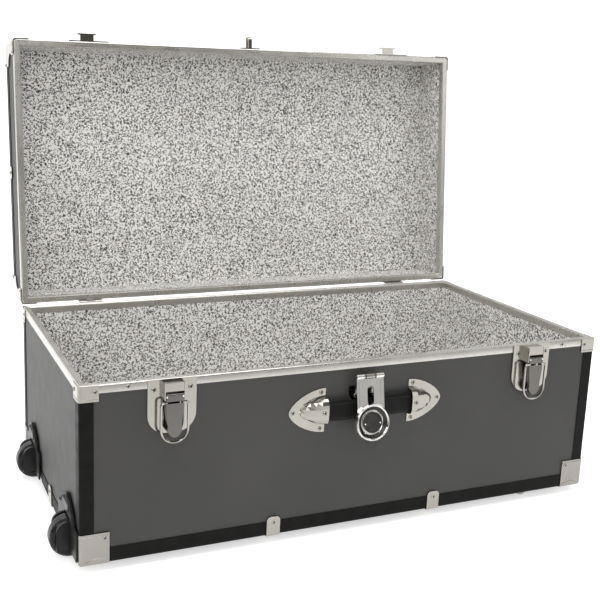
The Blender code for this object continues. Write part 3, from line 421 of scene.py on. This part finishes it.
def make_rim(name, body, matrix, z_of):
    """A rim channel, its section carried round the case; z_of turns a section's height into a z."""
    bm = bmesh.new()
    path = []
    for cx, cy, start in ((1, 1, 0), (-1, 1, 90), (-1, -1, 180), (1, -1, 270)):
        for a in (math.radians(start + 22.5 * i) for i in range(5)):
            path.append(((cx, cy), (math.cos(a), math.sin(a))))
    least = 0.0003         # corner radius where the section runs inside the corner's centre
    profile = rim_profile()
    rings = []
    for (cx, cy), (nx, ny) in path:
        ring = []
        for out, up in profile:
            r = max(CORNER + out, least)
            x = cx * (HALF_W + out - r) + nx * r
            y = cy * (HALF_D + out - r) + ny * r
            ring.append(bm.verts.new(matrix @ Vector((x, y, z_of(up)))))
        rings.append(ring)
    count = len(profile)
    for low, high in zip(rings, rings[1:] + rings[:1]):
        for k in range(count):
            bm.faces.new((low[k], low[(k + 1) % count], high[(k + 1) % count], high[k]))
    # the rim channel in the brightened nickel, a painted highlight
    return new_piece(name, bm, RIM_HIGHLIGHT_NICKEL, body, 35)


def rim_profile():
    """The channel's section, one bent strip: outer leg, beaded top, inner leg; (out, up) from its top."""
    outer, inner, thick = 0.0010, -0.0091, 0.0006
    leg_end, under_top = -0.0105, -0.00108
    points = [(outer, leg_end), (outer, -0.0022), (outer - 0.0004, -0.0010), (outer - 0.0014, -0.0004)]
    for centre in (-0.0013, -0.0041, -0.0068):
        points += [(centre + 0.0009, -0.00055), (centre + 0.0005, 0), (centre - 0.0005, 0),
                   (centre - 0.0009, -0.00055)]
    points += [(inner + 0.0009, -0.0006), (inner + 0.0002, -0.0014), (inner, -0.0024), (inner, leg_end)]
    points += [(inner + thick, leg_end), (inner + thick, under_top)]
    points += [(outer - thick, under_top), (outer - thick, leg_end)]
    return points


def make_rims():
    rim = make_rim("base_rim_channel", "base", STILL, lambda up: BASE_TOP + up)
    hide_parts("base_rim")
    rim = make_rim("lid_rim_channel", "lid", LID, lambda up: LID_EDGE - up)
    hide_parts("lid_rim")


# ------------------------------------------------------------------ fasteners
def face_point(face, u, v, out):
    """A point and normal on a face of the case (F front, L left, R right, B back), out from its boards."""
    if face == "F":
        return Vector((u, -HALF_D - out, v)), Vector((0, -1, 0))
    if face == "B":
        return Vector((u, HALF_D + out, v)), Vector((0, 1, 0))
    if face == "L":
        return Vector((-HALF_W - out, u, v)), Vector((-1, 0, 0))
    return Vector((HALF_W + out, u, v)), Vector((1, 0, 0))


def on_lid(place):
    """Moves a point and normal of the closed lid to where the lid rests."""
    point, normal = place
    return LID @ point, LID.to_3x3() @ normal


def make_corner_rivets():
    """Rivets on the bottom caps, the rim, its brackets and the lid's corner pieces."""
    cap = []
    bracket = []
    for sx in (-1, 1):
        for sy in (-1, 1):
            front = "F" if sy < 0 else "B"
            side = "L" if sx < 0 else "R"
            x = sx * (HALF_W - 0.030)
            y = sy * (HALF_D - 0.030)
            cap += [face_point(front, x, 0.0330, CAP_OUT), face_point(side, y, 0.0330, CAP_OUT)]
            cap += [face_point(front, sx * 0.3215, 0.2236, 0.0010)]
            bracket += [face_point(front, sx * (HALF_W - 0.0185), 0.2205, CAP_OUT),
                        face_point(side, sy * (HALF_D - 0.0185), 0.2205, CAP_OUT)]
    rivets("base_corner_rivets", cap + bracket, "base", 0.0028)
    lid = []
    for sx in (-1, 1):
        for sy in (-1, 1):
            front = "F" if sy < 0 else "B"
            side = "L" if sx < 0 else "R"
            for along, height in ((0.0185, 0.2375), (0.0325, 0.3065)):
                lid += [on_lid(face_point(front, sx * (HALF_W - along), height, CAP_OUT)),
                        on_lid(face_point(side, sy * (HALF_D - along), height, CAP_OUT))]
    rivets("lid_corner_rivets", lid, "lid", 0.0028)


def make_fitting_rivets():
    """Rivets on the latches, their catches, the hinges, the lock's staple and the hasp's base."""
    latch = []
    catch = []
    hinge = []
    hinge_lid = []
    for sx in (-1, 1):
        for dx in (-0.0235, 0.0235):
            latch.append(face_point("F", sx * LATCH_X + dx, 0.2165, PLATE_OUT))
            catch.append(on_lid(face_point("F", sx * LATCH_X + dx, 0.2480, PLATE_OUT)))
        for dx, down in ((-0.0120, 0.011), (0.0120, 0.011), (0.0, 0.026)):
            hinge.append(face_point("B", sx * HINGE_X + dx, HINGE_Z - down, PLATE_OUT))
            hinge_lid.append(on_lid(face_point("B", sx * HINGE_X + dx, HINGE_Z + down, PLATE_OUT)))
    rivets("latch_plate_rivets", latch, "base", 0.0034)
    rivets("catch_rivets", catch, "lid", 0.0030)
    rivets("hinge_base_rivets", hinge, "base", 0.0030)
    rivets("hinge_lid_rivets", hinge_lid, "lid", 0.0030)
    staple = [on_lid(face_point("F", dx, 0.2440, PLATE_OUT)) for dx in (-0.0115, 0.0115)]
    rivets("staple_rivets", staple, "lid", 0.0026)
    hasp = [face_point("F", dx, 0.1810, 0.0015) for dx in (-0.014, 0.014)]
    rivets("hasp_base_rivets", hasp, "base", 0.0028)


def handle_rivets(name, face, centre, height):
    """Three rivets on each end cap's flange, and one on its raised middle."""
    places = []
    for side in (-1, 1):
        edge = centre + side * CAP_EDGE
        places += [face_point(face, edge + side * 0.0065, height + 0.0250, 0.0014),
                   face_point(face, edge + side * 0.0065, height - 0.0250, 0.0014),
                   face_point(face, edge + side * 0.0462, height, 0.0014),
                   face_point(face, edge + side * 0.0060, height, 0.0142)]
    rivets(name, places, "base", 0.0030)


def clip_rows():
    """The clip's section, from the lip under the case to its round top: (outer, inner, half width)."""
    thick, inner, bend, half = 0.0010, 0.0013, 0.0025, 0.0095
    low, up = -0.0013, 0.0255
    rows = [((-0.0165, low - thick), (-0.0165, low), half)]
    centre = (inner + thick - bend, low - thick + bend)
    for i in range(5):
        a = math.radians(22.5 * i)
        across, down = math.sin(a), math.cos(a)
        rows.append(((centre[0] + bend * across, centre[1] - bend * down),
                     (centre[0] + (bend - thick) * across, centre[1] - (bend - thick) * down), half))
    for i in range(7):
        a = math.radians(15 * i)
        z = up - 0.006 + 0.006 * math.sin(a)
        rows.append(((inner + thick, z), (inner, z), half * (1 - 0.6 * (1 - math.cos(a)))))
    return rows


def make_clip(name, face, u, z_of, matrix, body):
    """A folded sheet clip over the binding at an edge of the case."""
    bm = bmesh.new()
    rings = []
    for outer, inner, half in clip_rows():
        ring = []
        for (out, z), du in ((outer, -half), (outer, half), (inner, half), (inner, -half)):
            ring.append(bm.verts.new(matrix @ face_point(face, u + du, z_of(z), out)[0]))
        rings.append(ring)
    for a, b in zip(rings, rings[1:]):
        for k in range(4):
            bm.faces.new((a[k], a[(k + 1) % 4], b[(k + 1) % 4], b[k]))
    bm.faces.new(rings[0])
    bm.faces.new(rings[-1])
    piece = new_piece(name, bm, NICKEL, body, 35)
    bevel = piece.modifiers.new("edge", "BEVEL")
    bevel.width = 0.0003
    bevel.segments = 2


def make_clips():
    """Clips along the bottom edge of the base, and along the top edge of the lid."""
    long_sides = [("F", -0.1255), ("F", 0.1195), ("B", -0.1255), ("B", 0.1195)]
    marks = []
    for i, (face, u) in enumerate(long_sides + [("L", -0.0145), ("R", 0.0)]):
        make_clip(f"edge_clip_{i}", face, u, lambda z: z, STILL, "base")
        marks.append(face_point(face, u, 0.0175, 0.0023))
    rivets("edge_clip_rivets", marks, "base", 0.0026)
    marks = []
    for i, (face, u) in enumerate(long_sides + [("L", 0.0), ("R", 0.0)]):
        make_clip(f"lid_clip_{i}", face, u, lambda z: LID_TOP - z, LID, "lid")
        marks.append(on_lid(face_point(face, u, LID_TOP - 0.0175, 0.0023)))
    rivets("lid_clip_rivets", marks, "lid", 0.0026)


# ------------------------------------------------------------------ corners
def corner_path(sx, sy, reach, z):
    """Points along a corner piece's edge: in from one face, round the corner, out on the other."""
    front = "F" if sy < 0 else "B"
    side = "L" if sx < 0 else "R"
    radius = CORNER + CAP_OUT
    points = [face_point(front, sx * (HALF_W - reach), z, CAP_OUT)[0]]
    for i in range(5):
        a = math.radians(22.5 * i)
        x = HALF_W - CORNER + radius * math.sin(a)
        y = HALF_D - CORNER + radius * math.cos(a)
        points.append(Vector((sx * x, sy * y, z)))
    points.append(face_point(side, sy * (HALF_D - reach), z, CAP_OUT)[0])
    return points


def make_corner_beads():
    """Pressed beads round the corner pieces, and a fold low on both faces of each bottom cap."""
    base = bmesh.new()
    lid = bmesh.new()
    for sx in (-1, 1):
        for sy in (-1, 1):
            front = "F" if sy < 0 else "B"
            side = "L" if sx < 0 else "R"
            add_tube(base, corner_path(sx, sy, 0.0350, 0.0368), BEAD_RADIUS, sides=8)
            add_tube(base, corner_path(sx, sy, 0.0215, 0.2115), BEAD_RADIUS, sides=8)
            for face, half, sign in ((front, HALF_W, sx), (side, HALF_D, sy)):
                fold = [face_point(face, sign * (half - u), z, CAP_OUT)[0]
                        for u, z in ((0.006, 0.0025), (0.017, 0.0075), (0.034, 0.0045))]
                add_tube(base, fold, 0.0005, sides=6)
            bead = corner_path(sx, sy, 0.0205, 0.2355)
            add_tube(lid, [LID @ p for p in bead], BEAD_RADIUS, sides=8)
    new_piece("base_corner_beads", base, NICKEL, "base", 60)
    new_piece("lid_corner_beads", lid, NICKEL, "lid", 60)


# ------------------------------------------------------------------ handle straps
def strap_section(half_height, half_thick):
    """The strap's rounded section, padded in the middle: (up, out) from its centre."""
    section = []
    for i in range(28):
        a = 2 * math.pi * i / 28
        c, s = math.cos(a), math.sin(a)
        up = half_height * math.copysign(abs(c) ** 0.30, c)
        out = half_thick * math.copysign(abs(s) ** 0.55, s)
        section.append((up, out * (0.72 + 0.28 * (1 - (up / half_height) ** 4))))
    return section


def strap_out(x):
    """How far the strap's mid-thickness stands out from the wall, most at its middle."""
    return 0.00775 + 0.0025 * (1 - (x / STRAP_HALF) ** 2)


def make_strap(node, face, centre, height):
    """The padded vinyl strap, and its two rows of stitches."""
    bm = bmesh.new()
    section = strap_section(0.0134, 0.0022)
    rings = []
    end = STRAP_HALF - 0.0004
    for i in range(31):
        x = max(-end, min(end, -STRAP_HALF + 2 * STRAP_HALF * i / 30))
        rings.append([bm.verts.new(face_point(face, centre + x, height + up, strap_out(x) + out)[0])
                      for up, out in section])
    for a, b in zip(rings, rings[1:]):
        for k in range(len(section)):
            j = (k + 1) % len(section)
            bm.faces.new((a[k], a[j], b[j], b[k]))
    bm.faces.new(rings[0])
    bm.faces.new(rings[-1])
    strap = new_piece(node + "_vinyl", bm, VINYL, "base", 50)
    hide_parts(node)
    thread = bmesh.new()
    for row in (-0.0098, 0.0098):
        x = -0.0605
        while x < 0.0600:
            points = [face_point(face, centre + x + dx, height + row, strap_out(x) + 0.0020 + lift)[0]
                      for dx, lift in ((0, -0.0006), (0.0006, 0.0001), (0.0024, 0.0001), (0.0030, -0.0006))]
            add_tube(thread, points, 0.00035, sides=6)
            x += 0.0042
    new_piece(node + "_stitches", thread, THREAD, "base", 60)


# ------------------------------------------------------------------ lock
def make_lock_face():
    """The round lock's dial, its sloping ring painted dark as shade, and its studs and rolled rim in nickel
    brightened as a painted highlight, all on the swinging plate.
    """
    hasp = Matrix.Translation(HASP_PIN) @ Matrix.Rotation(HASP_TILT, 4, "X")
    facing = hasp @ Matrix.Translation((0, -0.0008, -LOCK_DROP)) @ Matrix.Rotation(math.radians(90), 4, "X")
    bm = bmesh.new()
    lathe(bm, [(0, 0.0022), (0.0141, 0.0022), (0.0141, 0.0030), (0.0134, 0.0034), (0.0122, 0.0034),
               (0.0118, 0.0030), (0.0114, 0.0034), (0, 0.0034)], facing, 48)
    new_piece("lock_dial", bm, DIAL, "hasp", 35)
    bm = bmesh.new()
    lathe_ring(bm, [(0.0166, 0.0012), (0.0166, 0.0018), (0.0210, 0.0050), (0.0210, 0.0040)], facing, 48)
    # painted shade: the sloping ring in the near-black nickel
    new_piece("lock_slope", bm, SHADED, "hasp", 35)
    bm = bmesh.new()
    for x, z, foot in ((-0.0112, -0.0012, 0.0034), (0.0112, -0.0012, 0.0034),
                       (-0.0104, -0.0136, 0.0016), (0.0104, -0.0136, 0.0016)):
        place = facing @ Matrix.Translation((x, z, foot))
        lathe(bm, [(0, -0.0004), (0.0013, -0.0004), (0.0013, 0.0004), (0.0009, 0.0009), (0, 0.0011)],
              place, 14)
    new_piece("lock_studs", bm, HIGHLIGHT_NICKEL, "hasp", 50)
    circle = [facing @ Vector((0.0229 * math.cos(a), 0.0229 * math.sin(a), 0.0053))
              for a in (2 * math.pi * i / 56 for i in range(56))]
    tube("lock_rim_bead", circle, 0.0008, HIGHLIGHT_NICKEL, "hasp", True)


def make_hasp_gaps():
    """Painted shade: dark rings over the gaps between the hasp hinge's three knuckles."""
    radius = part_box("hasp_plate")[1][2] - HASP_PIN[2] + 0.00015
    inner, half = radius - 0.0003, 0.0005
    bm = bmesh.new()
    for x in (-0.0068, 0.0068):
        place = frame_at((x, HASP_PIN[1], HASP_PIN[2]), (1, 0, 0))
        lathe_ring(bm, [(inner, -half), (radius, -half), (radius, half), (inner, half)], place, 24)
    new_piece("hasp_knuckle_gaps", bm, SHADED, "hasp", 40)


def make_lever_beads():
    """The rolled bar across the head of each latch lever, in nickel brightened as a painted highlight."""
    for side, x in (("left", -LATCH_X), ("right", LATCH_X)):
        y = -HALF_D - 0.0143
        points = [(x - 0.0104, y, 0.2090), (x - 0.0103, y, 0.2112), (x - 0.0094, y, 0.2120),
                  (x + 0.0094, y, 0.2120), (x + 0.0103, y, 0.2112), (x + 0.0104, y, 0.2090)]
        tube(f"lever_bead_{side}", points, 0.0013, HIGHLIGHT_NICKEL, f"latch_lever_{side}")


# ------------------------------------------------------------------ wheels
def make_wheel_details():
    """A raised hub ring on each side of each wheel, and the moulded ridge over each wheel opening."""
    for side in ("front", "back"):
        low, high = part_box(f"wheel_{side}")
        y = (low[1] + high[1]) / 2
        half = (high[1] - low[1]) / 2
        bm = bmesh.new()
        for sign in (-1, 1):
            place = frame_at((WHEEL_X, y + sign * (half - 0.003), WHEEL_Z), (0, sign, 0))
            lathe_ring(bm, [(0.0100, -0.0005), (0.0158, -0.0005), (0.0158, 0.0008), (0.0150, 0.0013),
                            (0.0140, 0.0008), (0.0112, 0.0008), (0.0104, 0.0018), (0.0100, 0.0018)],
                       place, 36)
        new_piece(f"wheel_{side}_hub", bm, PLASTIC, f"wheel_{side}", 40)
        arch = [(0.034, 0.047), (0.0300, 0.0555), (0.0200, 0.0620)]
        arch += [(0.0120 * math.sin(math.radians(a)), 0.0565 + 0.0130 * math.cos(math.radians(a)))
                 for a in (50, 30, 10)]
        arch += [(-u, z) for u, z in reversed(arch)]
        plate_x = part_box(f"wheel_housing_{side}")[0][0]
        ridge_x = max(plate_x, WHEEL_X - 0.0038)
        ridge = [(ridge_x, y + u, z) for u, z in arch]
        tube(f"wheel_{side}_arch", ridge, 0.0011, PLASTIC, "base")


make_rims()
make_corner_rivets()
make_fitting_rivets()
for handle, face, centre, height in HANDLES:
    handle_rivets(f"{handle}_rivets", face, centre, height)
make_clips()
make_corner_beads()
for handle, face, centre, height in HANDLES:
    make_strap(f"{handle}_strap", face, centre, height)
make_lock_face()
make_hasp_gaps()
make_lever_beads()
make_wheel_details()


# ------------------------------------------------------------------ stage, lights, camera
def make_backdrop():
    """A pale floor that curves up into a wall behind the case."""
    floor_z = cad_box[0][2] - 0.0002
    bm = bmesh.new()
    section = [(-8.0, 0.0), (3.0, 0.0)]
    for i in range(1, 13):
        a = math.radians(90 * i / 12)
        section.append((3.0 + 1.5 * math.sin(a), 1.5 - 1.5 * math.cos(a)))
    section.append((4.5, 9.0))
    rows = [[bm.verts.new((x, y, floor_z + z)) for y, z in section] for x in (-14.0, 14.0)]
    for i in range(len(section) - 1):
        bm.faces.new((rows[0][i], rows[1][i], rows[1][i + 1], rows[0][i + 1]))
    mesh = bpy.data.meshes.new("backdrop")
    bm.to_mesh(mesh)
    bm.free()
    mesh.shade_smooth()
    backdrop = bpy.data.objects.new("backdrop", mesh)
    bpy.context.scene.collection.objects.link(backdrop)
    # painted light: the floor's colour and glow are light grey towards the camera and grow paler up to 0.44
    # m in front of the case's middle
    g = Graph("backdrop_paint", (0.70, 0.70, 0.70), 0.95)
    dot = g.tree.nodes.new("ShaderNodeVectorMath")
    dot.operation = "DOT_PRODUCT"
    g.set(dot, 0, g.coords)
    away_from_camera = (0.398, 0.917, 0.0)
    g.set(dot, 1, away_from_camera)
    pale = g.map(dot.outputs["Value"], -1.50, -0.44)
    g.color(g.mix(pale, (0.36, 0.355, 0.345), (0.70, 0.70, 0.70)))
    g.set(g.shader, "Emission Color", (1, 1, 1, 1))
    g.set(g.shader, "Emission Strength", g.map(pale, 0.0, 1.0, 0.20, 0.56))
    mesh.materials.append(g.material)


def make_world():
    """Bright overhead, grey at eye level with darker panels, so that the metal has something to reflect."""
    world = bpy.data.worlds.new("studio")
    bpy.context.scene.world = world
    world.use_nodes = True
    tree = world.node_tree
    background = tree.nodes["Background"]
    coords = tree.nodes.new("ShaderNodeTexCoord").outputs["Generated"]
    split = tree.nodes.new("ShaderNodeSeparateXYZ")
    tree.links.new(coords, split.inputs[0])
    ramp = tree.nodes.new("ShaderNodeValToRGB")
    tree.links.new(split.outputs["Z"], ramp.inputs[0])
    ramp.color_ramp.elements[0].position = 0.0
    ramp.color_ramp.elements[0].color = (0.95, 0.94, 0.92, 1)
    ramp.color_ramp.elements[1].position = 1.0
    ramp.color_ramp.elements[1].color = (1.0, 1.0, 1.0, 1)
    for position, value in ((0.06, 0.70), (0.16, 0.10), (0.34, 0.34), (0.62, 0.95)):
        element = ramp.color_ramp.elements.new(position)
        element.color = (value, value * 0.985, value * 0.96, 1)
    tree.links.new(ramp.outputs[0], background.inputs["Color"])
    background.inputs["Strength"].default_value = 0.6


def stage_and_light():
    """The backdrop, the world and five soft area lights."""
    make_backdrop()
    make_world()
    for name, location, size, power, aim in (
        ("key", (-2.4, -0.9, 2.0), 1.3, 21, (0, 0, 0.2)),
        ("front", (-0.9, -2.3, 1.6), 1.5, 20, (0, 0.2, 0.45)),
        ("top", (0.1, -0.3, 2.6), 1.8, 30, (0, 0.1, 0.2)),
        ("fill", (2.0, -2.2, 1.3), 1.2, 7, (0, 0, 0.2)),
        ("back_floor", (0.0, 2.6, 3.2), 3.0, 60, (0, 3.2, 0.0)),
    ):
        light = bpy.data.lights.new(name, "AREA")
        light.size = size
        light.energy = power
        obj = bpy.data.objects.new(name, light)
        obj.location = location
        obj.rotation_euler = (Vector(aim) - Vector(location)).to_track_quat("-Z", "Y").to_euler()
        bpy.context.scene.collection.objects.link(obj)
    settings = bpy.context.scene.view_settings
    settings.view_transform = "Standard"


def make_camera():
    """The photo's view, with the lens shifted because the picture's centre isn't on the lens's axis."""
    yaw, pitch, roll = 0.4096, 0.2114, 0.0368
    forward = Vector((math.sin(yaw) * math.cos(pitch), math.cos(yaw) * math.cos(pitch), -math.sin(pitch)))
    right0 = Vector((math.cos(yaw), -math.sin(yaw), 0))
    up0 = right0.cross(forward)
    right = math.cos(roll) * right0 + math.sin(roll) * up0
    up = -math.sin(roll) * right0 + math.cos(roll) * up0
    data = bpy.data.cameras.new("camera")
    data.sensor_width = 36
    data.lens = 58.1112
    data.shift_x = 0.0491
    data.shift_y = -0.04215
    camera = bpy.data.objects.new("camera", data)
    turn = Matrix((right, up, -forward)).transposed().to_4x4()
    camera.matrix_world = Matrix.Translation((-0.60775, -1.27197, 0.60139)) @ turn
    bpy.context.scene.collection.objects.link(camera)
    bpy.context.scene.camera = camera


stage_and_light()
make_camera()
